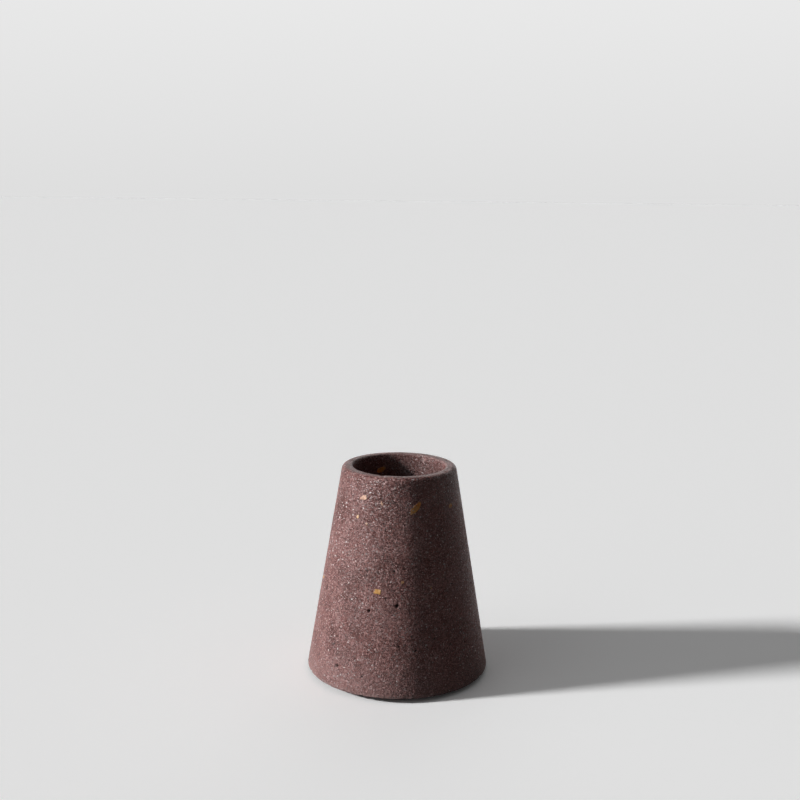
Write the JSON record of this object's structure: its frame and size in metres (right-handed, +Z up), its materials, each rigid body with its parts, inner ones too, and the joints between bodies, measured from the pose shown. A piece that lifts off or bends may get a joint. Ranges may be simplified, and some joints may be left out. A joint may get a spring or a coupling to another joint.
{
  "type": "toothbrush holder",
  "caption": "Tapered round toothbrush holder cast in red-brown terrazzo cement, with a straight round well, stone chips set flush in the wall and rubber feet.",
  "frame": {"origin": "on the table, under the middle of the base, at the underside of the feet", "axes": "+Z up along the vessel's axis and out of the well; -Y towards the viewer of the picture"},
  "size_m": [0.0648, 0.0648, 0.075],
  "materials": {
    "cast_stone": "satin",
    "amber_stone": "satin",
    "ochre_stone": "satin",
    "peach_stone": "satin",
    "foot_rubber": "matte"
  },
  "bodies": {
    "root": {"amber_chip_1": "amber_stone", "amber_chip_2": "amber_stone", "amber_chip_3": "amber_stone", "amber_chip_4": "amber_stone", "amber_chip_5": "amber_stone", "amber_chip_6": "amber_stone", "amber_chip_7": "amber_stone", "amber_chip_8": "amber_stone", "cast_body": "cast_stone", "ochre_chip_1": "ochre_stone", "ochre_chip_2": "ochre_stone", "ochre_chip_3": "ochre_stone", "ochre_chip_4": "ochre_stone", "ochre_chip_5": "ochre_stone", "ochre_chip_6": "ochre_stone", "ochre_chip_7": "ochre_stone", "peach_chip_1": "peach_stone", "peach_chip_2": "peach_stone", "peach_chip_3": "peach_stone", "peach_chip_4": "peach_stone", "peach_chip_5": "peach_stone", "rubber_foot_back_left": "foot_rubber", "rubber_foot_back_right": "foot_rubber", "rubber_foot_front_left": "foot_rubber", "rubber_foot_front_right": "foot_rubber"}
  },
  "joints": []
}
